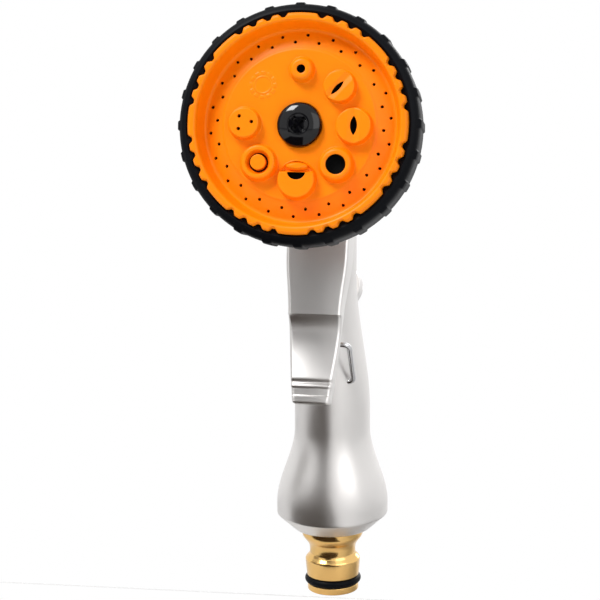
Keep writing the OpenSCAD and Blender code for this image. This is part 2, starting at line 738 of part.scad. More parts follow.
module trigger_side_outline() {
    polygon(concat(
        [[pivot_y - 4.5, pivot_z + 5], [trigger_front + 0.4, pivot_z + 1], [trigger_front, pivot_z - 7]],
        [for (z = trigger_heights) [trigger_front_at(z), z]],
        [[trigger_back - 0.8, tip_z], [trigger_back, tip_z + 1], [trigger_back, tip_z + 26],
         [pivot_y + 0.6, pivot_z - 22], [pivot_y + 3.2, pivot_z - 11], [pivot_y + ear_r, pivot_z],
         [pivot_y, pivot_z + ear_r]]
    ));
}

module trigger() color("#c8c8c6") placed() difference() {
    union() {
        intersection() {
            side_plate(60) trigger_side_outline();
            front_plate(0, 90) trigger_front_outline(0);
        }
        across_x(pivot_y, pivot_z) cylinder(h = trigger_top_w, r = ear_r, center = true);
    }
    intersection() {
        translate([-20, trigger_front + trigger_plate, crease_z + 2]) cube([40, 30, 60]);
        front_plate(0, 90) trigger_front_outline(trigger_wall);
    }
    across_x(pivot_y, pivot_z)
        cylinder(h = 2 * (lug_half_w + side_gap), r = ear_r + 0.1, center = true);
    across_x(pivot_y, pivot_z) cylinder(h = 40, r = pin_d / 2 + running_gap, center = true);
    across_x(trigger_front - 0.2, tip_z + 6.8) cylinder(h = 40, r = 0.9, center = true);
    translate([-20, trigger_front - 5, tip_z + 2.5]) cube([40, 5.4, 2.5]);
}

// --- Valve ---

module valve_stem() color("goldenrod") placed() {
    translate([0, stem_tip + stem_r, valve_z]) sphere(stem_r);
    along_y(stem_tip + stem_r, valve_z)
        cylinder(h = seat_back + valve_washer_t + nut_t + 6 - stem_tip - stem_r, r = stem_r);
    along_y(seat_back + valve_washer_t + seat_gap * 2, valve_z) cylinder(h = stem_flange_t, r = stem_flange_r);
}

module valve_washer() color("black") placed() along_y(seat_back + seat_gap, valve_z) difference() {
    cylinder(h = valve_washer_t, r = seat_bore_d / 2 + 1.4);
    translate([0, 0, -1]) cylinder(h = 4, r = stem_r + seat_gap);
}

module washer_nut() color("silver") placed()
    along_y(seat_back + valve_washer_t + stem_flange_t + 3 * seat_gap, valve_z) difference() {
        cylinder(h = nut_t - seat_gap, r = nut_r, $fn = 6);
        translate([0, 0, -1]) cylinder(h = 4, r = stem_r + seat_gap);
    }

// --- Lock bail ---

// Bent wire in its own plane: local X is across, local Y runs from the pivot to the crossbar
module lock_bail() color("silver") placed() translate([0, bail_y, bail_z]) rotate([180 - bail_rise, 0, 0]) {
    for (side = [0, 1]) mirror([side, 0, 0]) {
        translate([bail_end_x, 0, 0]) rotate([0, 90, 0])
            cylinder(h = bail_arm_x - bend_wire_r - bail_end_x, r = wire_r, $fn = 32);
        translate([bail_arm_x - bend_wire_r, bend_wire_r, 0]) rotate([0, 0, -90]) wire_bend();
        translate([bail_arm_x, bend_wire_r, 0]) rotate([-90, 0, 0])
            cylinder(h = bail_reach - 2 * bend_wire_r, r = wire_r, $fn = 32);
        translate([bail_arm_x - bend_wire_r, bail_reach - bend_wire_r, 0]) wire_bend();
    }
    translate([0, bail_reach, 0]) rotate([0, 90, 0])
        cylinder(h = 2 * (bail_arm_x - bend_wire_r), r = wire_r, center = true, $fn = 32);
}

module wire_bend() rotate_extrude(angle = 90) translate([bend_wire_r, 0]) circle(wire_r, $fn = 32);

spray_face();
grip_ring();
chamber_plate();
cone_insert();
face_screw();
screw_washer();
spindle();
outlet_plate();
plate_o_ring();
plate_screws();
port_seal();
seal_spring();
detent_ball();
detent_spring();
body_casting();
trigger_pin();
gland_nut();
stem_o_ring();
valve_seat();
valve_spring();
valve_cap();
cap_o_ring();
hose_plug();
plug_o_ring();
plug_washer();
inlet_filter();
trigger();
valve_stem();
valve_washer();
washer_nut();
lock_bail();
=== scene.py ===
"""Looks of the hose spray nozzle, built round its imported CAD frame.

Pieces are laid out in millimetres from the dial's front centre: Y runs back along the spray axis,
Z up, X to the right seen from the front. to_frame() then carries them to the frame's own metres.
"""
import json
import math

import bmesh
import bpy
import numpy as np
from mathutils import Matrix, Vector


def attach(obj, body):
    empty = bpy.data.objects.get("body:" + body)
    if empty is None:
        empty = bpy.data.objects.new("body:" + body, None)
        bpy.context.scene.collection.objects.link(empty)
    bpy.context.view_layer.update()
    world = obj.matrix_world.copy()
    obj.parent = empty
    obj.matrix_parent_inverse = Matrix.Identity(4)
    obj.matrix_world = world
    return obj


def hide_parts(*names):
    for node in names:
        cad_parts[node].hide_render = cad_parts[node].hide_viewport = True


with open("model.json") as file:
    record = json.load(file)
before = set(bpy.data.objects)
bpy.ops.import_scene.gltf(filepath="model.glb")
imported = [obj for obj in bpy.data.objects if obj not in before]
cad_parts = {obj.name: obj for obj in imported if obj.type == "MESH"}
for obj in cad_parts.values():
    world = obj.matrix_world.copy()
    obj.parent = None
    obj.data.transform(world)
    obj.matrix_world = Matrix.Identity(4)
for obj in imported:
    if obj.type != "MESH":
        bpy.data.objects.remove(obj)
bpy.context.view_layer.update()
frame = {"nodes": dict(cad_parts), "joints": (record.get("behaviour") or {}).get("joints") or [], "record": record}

DIAL = np.array(next(j["pos_m"] for j in frame["joints"] if j["name"] == "dial_turn"))
WELD, SLIVER = 2e-6, 1e-6          # metres
FULL_TURN = 2 * math.pi


def to_frame(points):
    """Millimetres from the dial's front centre to metres in the frame."""
    return DIAL + np.asarray(points, float) * 0.001


def ease(x, a, b):
    """Smooth step from 0 at a to 1 at b: t * t * (3 - 2t)."""
    t = np.clip((np.asarray(x, float) - a) / (b - a), 0, 1)
    return t * t * (3 - 2 * t)


def round_steps(sides):
    """Angles of that many equal steps round a full turn."""
    return np.linspace(0, FULL_TURN, sides, endpoint=False)


def grid_faces(rows, cols, loop_rows=False):
    """Quads of a rows x cols grid of points. The columns close into a loop, and so may the rows."""
    i = np.arange(rows if loop_rows else rows - 1)[:, None]
    j = np.arange(cols)[None, :]
    i2, j2 = (i + 1) % rows, (j + 1) % cols
    quads = np.stack([i * cols + j, i * cols + j2, i2 * cols + j2, i2 * cols + j], -1)
    return quads.reshape(-1, 4).tolist()


def capped_faces(rows, cols):
    """The grid's quads, with one flat face over its first row and one over its last."""
    last = (rows - 1) * cols
    return grid_faces(rows, cols) + [list(range(cols)), list(range(last, last + cols))]


def piece(name, shape, body, node, slot, material, crease=38):
    """One closed mesh from (points, faces): welds seams and poles, and turns the faces outward. Edges
    sharper than crease degrees stay sharp."""
    points, faces = shape
    mesh = bpy.data.meshes.new(name)
    mesh.from_pydata(to_frame(points).reshape(-1, 3).tolist(), [], faces)
    bm = bmesh.new()
    bm.from_mesh(mesh)
    bmesh.ops.remove_doubles(bm, verts=bm.verts, dist=WELD)
    bmesh.ops.dissolve_degenerate(bm, dist=SLIVER, edges=bm.edges)
    bmesh.ops.recalc_face_normals(bm, faces=bm.faces)
    bm.to_mesh(mesh)
    bm.free()
    mesh.shade_smooth()
    mesh.set_sharp_from_angle(angle=math.radians(crease))
    obj = bpy.data.objects.new(name, mesh)
    bpy.context.scene.collection.objects.link(obj)
    mesh.materials.append(material)
    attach(obj, body)
    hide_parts(node)
    return obj


def rounded(corners, steps=5):
    """Outline through (u, v, radius) corners. A corner with a radius is turned by a quadratic arc, which
    starts that far before the corner, or just short of half the edge where the edge is too short."""
    out = []
    for k, (u, v, radius) in enumerate(corners):
        corner = np.array([u, v], float)
        if radius <= 0:
            out.append(corner)
            continue
        back = np.array(corners[k - 1][:2], float) - corner
        ahead = np.array(corners[(k + 1) % len(corners)][:2], float) - corner
        back_length, ahead_length = np.linalg.norm(back), np.linalg.norm(ahead)
        cut = min(radius, back_length * 0.48, ahead_length * 0.48)
        first, last = corner + back / back_length * cut, corner + ahead / ahead_length * cut
        t = np.linspace(0, 1, steps + 1)[:, None]
        out += list((1 - t) ** 2 * first + 2 * t * (1 - t) * corner + t * t * last)
    return np.array(out)


def turned(outline, place, sides):
    """Closed ring solid: outline of (radius, distance along) turned through that many sides.

    place(x, y, along) gives the point in dial millimetres."""
    turn = round_steps(sides)
    r, along = outline[:, 0][:, None], outline[:, 1][:, None]
    points = place(r * np.cos(turn), r * np.sin(turn), along + 0 * turn)
    return points, grid_faces(len(outline), sides, loop_rows=True)


def about_spray_axis(x, z, along):
    """Point turned about the spray axis: along runs back from the rim's front."""
    return np.stack([x, along, z], -1)


# --- Materials, all reading Object coordinates in metres ---

LATHE_PITCH = 0.0003


def new_material(name):
    """New node material: (material, nodes, link, shader, its Object coordinates)."""
    mat = bpy.data.materials.new(name)
    mat.use_nodes = True
    nodes, link = mat.node_tree.nodes, mat.node_tree.links.new
    shader = nodes["Principled BSDF"]
    coords = nodes.new("ShaderNodeTexCoord").outputs["Object"]
    return mat, nodes, link, shader, coords


def noise(nodes, link, coords, scale):
    """Noise value from 0 to 1 at that many cells a metre."""
    tex = nodes.new("ShaderNodeTexNoise")
    tex.inputs["Scale"].default_value = scale
    tex.inputs["Detail"].default_value = 3.0
    link(coords, tex.inputs["Vector"])
    return tex.outputs["Fac"]


def spread(nodes, link, value, low, high):
    """Maps a value of about 0.3 to 0.7 onto low to high."""
    node = nodes.new("ShaderNodeMapRange")
    node.inputs["From Min"].default_value = 0.3
    node.inputs["From Max"].default_value = 0.7
    node.inputs["To Min"].default_value = low
    node.inputs["To Max"].default_value = high
    link(value, node.inputs["Value"])
    return node.outputs["Result"]


def calculated(nodes, link, operation, first, second=None):
    """Math node that works operation out on one or two sockets, or on a socket and a number."""
    node = nodes.new("ShaderNodeMath")
    node.operation = operation
    link(first, node.inputs[0])
    if isinstance(second, float):
        node.inputs[1].default_value = second
    elif second is not None:
        link(second, node.inputs[1])
    return node.outputs[0]


def lathe_rings(nodes, link, coords, along):
    """Rings about the axis along: the sine of the distance down it, once each LATHE_PITCH."""
    down = nodes.new("ShaderNodeVectorMath")
    down.operation = "DOT_PRODUCT"
    down.inputs[1].default_value = along
    link(coords, down.inputs[0])
    wave = calculated(nodes, link, "MULTIPLY", down.outputs["Value"], FULL_TURN / LATHE_PITCH)
    return calculated(nodes, link, "SINE", wave)


def bumped(nodes, link, shader, height, depth):
    """Bump of that depth in metres from a height of 0 to 1."""
    bump = nodes.new("ShaderNodeBump")
    bump.inputs["Strength"].default_value = 1.0
    bump.inputs["Distance"].default_value = depth
    link(height, bump.inputs["Height"])
    link(bump.outputs["Normal"], shader.inputs["Normal"])


def finish_of(name, colour, rough, metal=0.0, specular=0.5, grain=2500, depth=4e-6, tint=0.06, along=None):
    """Plain moulded, cast or turned finish: colour and roughness drift a little with noise, and a fine
    grain stands in the bump. With along, rings run round that axis as a lathe leaves them."""
    mat, nodes, link, shader, coords = new_material(name)
    shader.inputs["Metallic"].default_value = metal
    shader.inputs["Specular IOR Level"].default_value = specular
    mix = nodes.new("ShaderNodeMix")
    mix.data_type = "RGBA"
    mix.inputs["A"].default_value = (*[c * (1 - tint) for c in colour], 1)
    mix.inputs["B"].default_value = (*[min(1, c * (1 + tint)) for c in colour], 1)
    link(spread(nodes, link, noise(nodes, link, coords, 60), 0, 1), mix.inputs["Factor"])
    link(mix.outputs["Result"], shader.inputs["Base Color"])
    fine = noise(nodes, link, coords, grain)
    link(spread(nodes, link, fine, rough * 0.88, rough * 1.12), shader.inputs["Roughness"])
    height = fine
    if along is not None:
        height = calculated(nodes, link, "ADD", lathe_rings(nodes, link, coords, along), fine)
    bumped(nodes, link, shader, height, depth)
    return mat


PLUG_LEAN = math.radians(20.5)
PLUG_AXIS = (0, math.sin(PLUG_LEAN), -math.cos(PLUG_LEAN))
ORANGE = finish_of("Moulded orange plastic", (1.0, 0.245, 0.0), 0.38, specular=0.2, depth=2e-6, tint=0.02)
RUBBER = finish_of("Black rubber", (0.003, 0.0035, 0.005), 0.45, specular=0.07, grain=5000, depth=8e-6)
DARK = finish_of("Dark plastic", (0.03, 0.033, 0.036), 0.5)
GREY = finish_of("Grey plastic", (0.12, 0.13, 0.14), 0.48)
WHITE = finish_of("White plastic", (0.8, 0.8, 0.78), 0.45)
GLOSS = finish_of("Gloss black", (0.002, 0.002, 0.003), 0.08, specular=0.35, grain=900, depth=1e-6)
NICKEL = finish_of("Satin nickel", (0.74, 0.72, 0.705), 0.36, metal=1.0, grain=6000, depth=2.5e-6, tint=0.03)
BRASS = finish_of("Turned brass", (0.82, 0.52, 0.19), 0.17, metal=1.0, depth=1.6e-6, along=PLUG_AXIS)
STEEL = finish_of("Bright steel", (0.62, 0.62, 0.63), 0.2, metal=1.0, grain=3000, depth=2e-6)
# Painted shade: near-black laid on the deep faces of the ports and pits. It stands in for the shade down a hole
# and for the dark chamber seen through it.
PAINTED_PORT_SHADE = finish_of("Painted shade inside a port", (0.002, 0.002, 0.002), 0.7, specular=0.1)

SLOT_LOOKS = {
    "orange_plastic": ORANGE,
    "black_rubber": RUBBER,
    "dark_plastic": DARK,
    "grey_plastic": GREY,
    "white_plastic": WHITE,
    "black_enamel": GLOSS,
    "satin_nickel": NICKEL,
    "brass": BRASS,
    "steel": STEEL,
}
NODE_SLOT = {s["node"]: s["material_slot"] for s in frame["record"]["subparts"]}
for node_name, node_obj in frame["nodes"].items():
    node_obj.data.materials.clear()
    node_obj.data.materials.append(SLOT_LOOKS[NODE_SLOT[node_name]])


# --- Body ---

HEAD_R, HEAD_FRONT = 27.5, 18.5
CUP_R, CUP_DEPTH = 24.9, 4.4                  # hollow for the outlet plate
FLARE_FROM, FLARE_TO = 21, 42                 # the head eases into the barrel between these depths
DROP_FROM = 25                                # the barrel's middle starts down here
BARREL_HALF_W, BARREL_HALF_D = 11.5, 13.8
BEND_Y, BEND_Z, BEND_R = 54.0, -24.0, 20.0
GRIP_BACK, GRIP_LEAN, GRIP_LENGTH = 67.5, math.radians(16.5), 120.2
THROAT_HALF_W, THROAT_HALF_D = 7.4, 12.4
NECK_FROM, NECK_TO, NECK_SWELL_W, NECK_SWELL_D = 40, 82, 4.4, 1.1
FOOT_FROM, FOOT_TO, FOOT_SWELL_W, FOOT_SWELL_D = GRIP_LENGTH - 32, GRIP_LENGTH - 8, 5.7, 4.0
FOOT_CONE, FOOT_TUCK = 4.7, 5.3               # the cone's length, and how far it draws in
FOOT_LEAN, FOOT_LEAN_OVER = 4.0, 20
CONE_SOFT = 0.35
VALVE_Z = -40.0
PIVOT_Y, PIVOT_Z = 54.0, -25.0


def body_rings():
    """Rows of (y, z, tilt in degrees, half width, half depth) down the body. The head's radius eases into
    the barrel, the barrel turns through the bend's circle, and the grip eases out to its neck and foot,
    then tapers in a cone to the plug."""
    y = np.linspace(HEAD_FRONT, BEND_Y, 70)
    flare = 1 - ease(y, FLARE_FROM, FLARE_TO)
    barrel = (y, (BEND_Z + BEND_R) * ease(y, DROP_FROM, BEND_Y), 0 * y,
              BARREL_HALF_W + (HEAD_R - BARREL_HALF_W) * flare,
              BARREL_HALF_D + (HEAD_R - BARREL_HALF_D) * flare)

    upright = 90 - math.degrees(GRIP_LEAN)
    tilt = np.linspace(0, upright, 46)[1:]
    t, a = ease(tilt, 0, upright), np.radians(tilt)
    bend = (BEND_Y + BEND_R * np.sin(a), BEND_Z + BEND_R * np.cos(a), tilt,
            BARREL_HALF_W + (THROAT_HALF_W - BARREL_HALF_W) * t,
            BARREL_HALF_D + (THROAT_HALF_D - BARREL_HALF_D) * t)

    first = -(BEND_Z + BEND_R * math.sin(GRIP_LEAN)) / math.cos(GRIP_LEAN)
    last = GRIP_LENGTH - FOOT_CONE
    s = np.concatenate([np.linspace(first, last - CONE_SOFT, 150)[1:],
                        np.linspace(last - CONE_SOFT, last + CONE_SOFT, 7)[1:],
                        np.linspace(last + CONE_SOFT, GRIP_LENGTH, 12)[1:]])
    neck, foot = ease(s, NECK_FROM, NECK_TO), ease(s, FOOT_FROM, FOOT_TO)
    over = s - last
    near = np.clip((over + CONE_SOFT) / (2 * CONE_SOFT), 0, 1)
    tuck = FOOT_TUCK / FOOT_CONE * np.where(over > CONE_SOFT, over, CONE_SOFT * near * near)
    grip = (GRIP_BACK + s * math.sin(GRIP_LEAN), -s * math.cos(GRIP_LEAN),
            upright - FOOT_LEAN * ease(s, GRIP_LENGTH - FOOT_LEAN_OVER, GRIP_LENGTH),
            THROAT_HALF_W + NECK_SWELL_W * neck + FOOT_SWELL_W * foot - tuck,
            THROAT_HALF_D + NECK_SWELL_D * neck + FOOT_SWELL_D * foot - tuck)
    return np.concatenate([np.stack(rows, -1) for rows in (barrel, bend, grip)])


def body_skin(sides=160):
    """Cast skin: each ring is (w cos f, y + d sin f sin tilt, z + d sin f cos tilt). The front is hollowed
    for the outlet plate."""
    y, z, tilt, w, d = (column[:, None] for column in body_rings().T)
    tilt = np.radians(tilt)
    turn = round_steps(sides)
    c, s = np.cos(turn), np.sin(turn)
    wall = np.stack([w * c, y + d * s * np.sin(tilt), z + d * s * np.cos(tilt)], -1)
    rim_soft, cup_soft = 0.3, 0.4
    wall[0, :, 1] += rim_soft
    floor_y = HEAD_FRONT + CUP_DEPTH
    cup = np.array([(0.0, floor_y), (CUP_R, floor_y), (CUP_R, HEAD_FRONT + cup_soft),
                    (CUP_R + cup_soft, HEAD_FRONT), (HEAD_R - rim_soft, HEAD_FRONT)])
    r, depth = cup[:, 0][:, None], cup[:, 1][:, None]
    mouth = about_spray_axis(r * c, r * s, depth + 0 * c)
    end = wall[-1].mean(0) + 0 * wall[-1]
    rows = np.concatenate([mouth, wall, end[None]])
    return rows, grid_faces(len(rows), sides)


def level_boss(radius, bore, front, back, soft=0.5):
    """Round boss along the valve's axis with a bore through it, its edges softened."""
    outline = rounded([(bore, front, 0), (radius, front, soft), (radius, back, soft), (bore, back, 0)])
    return turned(outline, lambda a, b, along: np.stack([a, along, VALVE_Z + b], -1), 72)


def pivot_lug(half=6.6, radius=3.8, edge=0.5, rise=11.0):
    """Lug under the barrel for the trigger's pin: a half round below, straight sides up into the barrel.
    Its outline is drawn in by edge on both faces."""
    turn = np.linspace(0, math.pi, 25)
    y = np.concatenate([PIVOT_Y + radius * np.cos(turn), [PIVOT_Y - radius, PIVOT_Y + radius]])
    z = np.concatenate([PIVOT_Z - radius * np.sin(turn), [PIVOT_Z + rise, PIVOT_Z + rise]])
    x = np.array([-half, edge - half, half - edge, half])[:, None]
    pull = np.array([edge, 0, 0, edge])[:, None] / radius
    inside_barrel = z > PIVOT_Z + rise - 2
    points = np.stack([x + 0 * y, y + (PIVOT_Y - y) * pull,
                       np.where(inside_barrel, z, z + (PIVOT_Z - z) * pull)], -1)
    return points, capped_faces(len(x), len(y))


casting = ("body", "body_casting", "satin_nickel", NICKEL)
piece("Cast_body", body_skin(), *casting, 44)
piece("Pivot_lug", pivot_lug(), *casting)
piece("Gland_boss", level_boss(6.2, 4.2, 64.8, 74.0), *casting)
piece("Cap_boss", level_boss(7.4, 6.2, 88.0, 93.45, 0.3), *casting)


# --- Trigger ---

LEVER_TOP, CREASE_Z, TIP_Z, TIP_SOFT = -20.3, -52.7, -80.0, 0.8
LEVER_FRONT, LEVER_HALF_W, CREASE_HALF_W, TIP_HALF_W = 47, 9.6, 8.25, 5.65
LEVER_WALL, LEVER_FACE, EAR_R = 2, 2.5, 4.8
FINGER_DEEP, FINGER_LONG = 2.8, 20.5          # hollow below the crease
GROOVE_Z, GROOVE_HALF, GROOVE_DEEP = -73.3, 0.62, 0.75
STEP_DEEP, TOP_LEAN_BACK = 0.4, 2.1


def trigger_half_w(z):
    """Half width: level above, easing in to the crease, then narrowing as a power 1.3 curve to the tip."""
    t = np.clip((CREASE_Z - z) / (CREASE_Z - TIP_Z), 0, 1)
    above = LEVER_HALF_W - (LEVER_HALF_W - CREASE_HALF_W) * ease(z, -34, CREASE_Z)
    return np.where(z > CREASE_Z, above, CREASE_HALF_W - (CREASE_HALF_W - TIP_HALF_W) * t ** 1.3)


def trigger_front(z):
    """Depth of the trigger's front: level above the crease, a finger hollow below it, a groove and a low
    step near the tip, and a slope at the top that leans back over the pivot."""
    hollow = FINGER_DEEP * np.sin(math.pi * np.clip((CREASE_Z - z) / FINGER_LONG, 0, 1) ** 0.55)
    groove_in = GROOVE_DEEP * np.exp(-((z - GROOVE_Z) / GROOVE_HALF) ** 2)
    step_in = STEP_DEEP * (ease(z, -77.8, -77.3) - ease(z, -75.2, -74.7))
    top = TOP_LEAN_BACK * ease(z, -32, -19.5) ** 1.5
    return LEVER_FRONT + hollow + groove_in + step_in + top


def trigger_back(z):
    """Depth of the side walls' rear edge: round about the pivot, then down to the tip in straight runs."""
    ear_z = np.minimum(z, PIVOT_Z + EAR_R - 0.01) - PIVOT_Z
    ear = PIVOT_Y + np.sqrt(np.maximum(0, EAR_R ** 2 - ear_z ** 2))
    down = np.interp(z, [-80, -79, -54, -47, -36, -25], [51.8, 52.6, 52.6, 54.6, 57.2, 58.8])
    return np.where(z > PIVOT_Z, ear, down)


def trigger_shell(corner=1.1, edge=0.25, hair=0.05):
    """Stack of channel sections down the trigger: each runs round the outside with soft front corners and
    back inside the walls. The channel closes 2 mm above the crease, so the tip is solid."""
    rounding = TIP_Z + TIP_SOFT - TIP_SOFT * np.sin(np.linspace(0.2, math.pi / 2, 8))
    z = np.concatenate([np.linspace(LEVER_TOP, CREASE_Z + 0.3, 90), np.linspace(CREASE_Z + 0.15, -71, 60),
                        np.linspace(-71.2, TIP_Z + TIP_SOFT, 50), rounding])
    low = np.maximum(0, TIP_Z + TIP_SOFT - z)
    pull = TIP_SOFT - np.sqrt(np.maximum(0, TIP_SOFT ** 2 - low * low))
    w, front, back = trigger_half_w(z) - pull, trigger_front(z) + pull, trigger_back(z) - pull
    inner_w = w - LEVER_WALL
    opened = ease(z, CREASE_Z + 1.4, CREASE_Z + 2.6)
    inner = np.minimum(back - hair, LEVER_FRONT + LEVER_FACE) * opened + (back - hair) * (1 - opened)
    c = np.minimum(corner, (back - front) * 0.45)
    t = np.linspace(0, math.pi / 2, 6)[:, None]
    x = np.concatenate([w - c + c * np.sin(t),
                        [w, w - edge, inner_w + edge, inner_w, inner_w, inner_w - 0.3]])
    y = np.concatenate([front + c - c * np.cos(t),
                        [back - edge, back, back, back - 0.04, inner + 0.01, inner]])
    x, y = np.concatenate([-x[::-1], x]), np.concatenate([y[::-1], y])
    points = np.stack([x, y, z + 0 * x], -1).transpose(1, 0, 2)
    return points, capped_faces(len(z), len(x))


piece("Trigger_lever", trigger_shell(), "trigger", "trigger", "satin_nickel", NICKEL, 36)


# --- Hose plug, measured down its axis from the foot's end ---

FOOT_END = np.array([0, 101.6386, -115.2501])
PLUG_BORE_R, PLUG_STEM_R = 5.5, 7.5


def on_plug(a, b, along):
    """Point at (a across, b) round the plug's axis and along down it."""
    down = np.array(PLUG_AXIS)
    out = np.array([0, math.cos(PLUG_LEAN), math.sin(PLUG_LEAN)])
    return FOOT_END + a[..., None] * np.array([1.0, 0, 0]) + b[..., None] * out + along[..., None] * down


plug_outline = rounded([
    (PLUG_BORE_R, -14, 0), (PLUG_STEM_R, -14, 0.3), (PLUG_STEM_R, 0.02, 0),           # stem in the foot
    (9.7, 0.02, 0.2), (9.7, 2.7, 0.9), (7.2, 6, 1.6), (7.2, 9, 0.9),                  # flange and neck
    (8.15, 10.1, 0.5), (8.65, 10.7, 0.7), (8.55, 12.3, 1.0), (8.2, 16.3, 0.3),        # collar
    (6.5, 16.3, 0.1), (6.5, 18.9, 0.1),                                               # O-ring groove
    (8.05, 18.9, 0.25), (8.05, 21.1, 0.45), (PLUG_BORE_R, 21.1, 0.3)])
piece("Brass_plug", turned(plug_outline, on_plug, 160), "body", "hose_plug", "brass", BRASS, 50)


# --- Dial ---

RIM_R, RING_R, SKIRT_R, SCREW_BORE_R = 32.9, 36.0, 30.3, 4.1
OUTLET_R = 16.4                               # circle that the bosses stand on
PLATEAU_Y, BOSS_FOOT_Y, PORT_FLOOR_Y, BOSS_TOP = 5.0, 5.3, 4.95, 2.1
NOTCH_END = 3.15                              # the rim's notches and the ring's teeth end at this depth
NOTCH_DEEP = 1.1
NOTCHES = np.radians([22.5 + 45 * k + a for k in range(8) for a in (-12.3, -4.1, 4.1, 12.3)])
LUGS, LUG_HEIGHT = 24, 0.5
SHOWER_HOLES = 22
SHOWER = [(math.radians(88 + 360 / SHOWER_HOLES * (k + half)), r)
          for k in range(SHOWER_HOLES) for half, r in ((0, 27.0), (0.5, 24.9))]
SHOWER_XZ = [(r * math.cos(a), r * math.sin(a)) for a, r in SHOWER]
SHOWER_DEPTH = 2.0


def finer(outline, longest):
    """The closed outline with its edges split evenly, so that none is over longest(start, end)."""
    runs = []
    for start, end in zip(outline, np.roll(outline, -1, axis=0)):
        n = max(1, math.ceil(np.linalg.norm(end - start) / longest(start, end)))
        runs.append(start + (end - start) * np.arange(n)[:, None] / n)
    return np.concatenate(runs)


def notch_depth(turn):
    """How far the soft notches reach into the rim: deep at a notch's middle, easing out by 1.7 from it."""
    apart = np.abs((turn[:, None] - NOTCHES[None, :] + math.pi) % FULL_TURN - math.pi).min(1) * RIM_R
    return NOTCH_DEEP * (1 - ease(apart, 0.3, 1.7))


def nearest(x, z, places):
    """Distance from each (x, z) to the nearest of the places."""
    return np.min([np.hypot(x - a, z - b) for a, b in places], axis=0)


def paint_port_shade(obj, chosen):
    """Paints shade: gives the faces whose middles pass chosen(x, y, z), in dial millimetres, the near-black
    painted shade of a deep port.
    """
    mesh = obj.data
    mids = np.empty(len(mesh.polygons) * 3)
    mesh.polygons.foreach_get("center", mids)
    mids = (mids.reshape(-1, 3) - DIAL) * 1000
    mesh.materials.append(PAINTED_PORT_SHADE)
    mesh.polygons.foreach_set("material_index", chosen(*mids.T).astype(np.int32))


def grip_ring(sides=1440):
    """Ring profile turned about the spray axis, with soft lugs raised on the outside, and teeth on the
    inside that fill the rim's notches."""
    bore, front, back = RIM_R + 0.02, 1.95, 16.9
    outline = finer(rounded([
        (bore, front, 0), (33.6, 1.25, 0.3), (34.9, 1.95, 0.7), (35.75, 3.1, 0.9), (RING_R, 4.8, 0.8),
        (RING_R, 6.4, 0.8), (35.4, 15.9, 0.5), (34.6, back, 0.5), (bore, back, 0), (bore, 3.2, 0),
        (bore, 3.1, 0)]), lambda start, end: 0.9)
    turn = round_steps(sides)
    pitch = FULL_TURN / LUGS
    off = np.abs((turn - math.radians(2) + pitch / 2) % pitch - pitch / 2)
    lug = 1 - ease(off, math.radians(1.75), math.radians(2.55))
    r, y = outline[:, 0][:, None], outline[:, 1][:, None]
    outside = ease(y, 2.4, 3.6) * (1 - ease(y, 15.2, 16.2)) * (r > 34)
    tooth = ((r < 33) & (y < NOTCH_END)) * 1.0
    r = r + LUG_HEIGHT * lug * outside - 0.97 * notch_depth(turn) * tooth
    points = about_spray_axis(r * np.cos(turn), r * np.sin(turn), y + 0 * turn)
    return points, grid_faces(len(outline), sides, loop_rows=True)


def face_shell(sides=1440):
    """Face profile turned about the spray axis: screw well, raised middle, trough, rim and skirt. The rim
    takes soft notches, and each shower hole is a pit with a wall 0.12 wide."""
    profile = rounded([
        (SCREW_BORE_R, 6.2, 0), (6.75, 6.2, 0), (6.75, PLATEAU_Y, 0.12), (22.6, PLATEAU_Y, 0.5),
        (23.2, 5.35, 0.6), (28.2, 7.0, 0.9), (29.1, 6.6, 0.8), (SKIRT_R, 0.7, 0.7), (30.9, 0, 0.5),
        (32.3, 0, 0.45), (RIM_R, 0.6, 0.45), (RIM_R, 3.1, 0), (RIM_R, 3.25, 0), (RIM_R, 14.5, 0.2),
        (SKIRT_R, 14.5, 0.2), (SKIRT_R, 9.2, 0), (SCREW_BORE_R, 9.2, 0)], 3)

    def longest(start, end):
        """Short where the shower holes lie, long elsewhere."""
        front = start[1] < 7.2 and end[1] < 7.2
        return 0.16 if front and 22.9 < start[0] < 28.6 and end[0] < 29.2 else 5.5

    rows = finer(profile, longest)
    turn = round_steps(sides)
    r, y = rows[:, 0][:, None] + 0 * turn, rows[:, 1][:, None] + 0 * turn
    r = r - notch_depth(turn) * ease(r, 31.0, 32.4) * (y < NOTCH_END)
    x, z = r * np.cos(turn), r * np.sin(turn)
    near = 9 + 0 * r
    for a, b in SHOWER_XZ:
        near = np.minimum(near, np.hypot(x - a, z - b))
    pit = (1 - ease(near, 0.34, 0.46)) * (y < 7.2)
    return about_spray_axis(x, z, y + SHOWER_DEPTH * pit), grid_faces(len(rows), sides, loop_rows=True)


def round_hole(radius):
    """Opening outline: the same radius all round."""
    return lambda turn: radius + 0 * turn


def eye_hole(half_length, half_width, lean):
    """Opening where two circles overlap, its long way at lean from level. Its radius, with f counted from
    lean, is sqrt(R R - (c cos f) ^ 2) - c |sin f|."""
    big = (half_length ** 2 + half_width ** 2) / (2 * half_width)
    c = big - half_width
    return lambda turn: (np.sqrt(big ** 2 - (c * np.cos(turn - lean)) ** 2)
                         - c * np.abs(np.sin(turn - lean)))


def smile_hole(half_width, depth):
    """Opening like the lower half of an ellipse with a level upper edge. Its middle is 0.4 of the way down,
    and its radius is the nearer of that edge and the ellipse."""
    def outline(turn):
        lift = 0.4 * depth
        c, s = np.cos(turn), np.sin(turn)
        up = np.where(s > 1e-6, lift / np.maximum(s, 1e-6), 99)
        a = (c / half_width) ** 2 + (s / depth) ** 2
        b = -2 * s * lift / depth ** 2
        low = (-b + np.sqrt(np.maximum(0, b * b - 4 * a * (lift ** 2 / depth ** 2 - 1)))) / (2 * a)
        return np.minimum(up, low)
    return outline


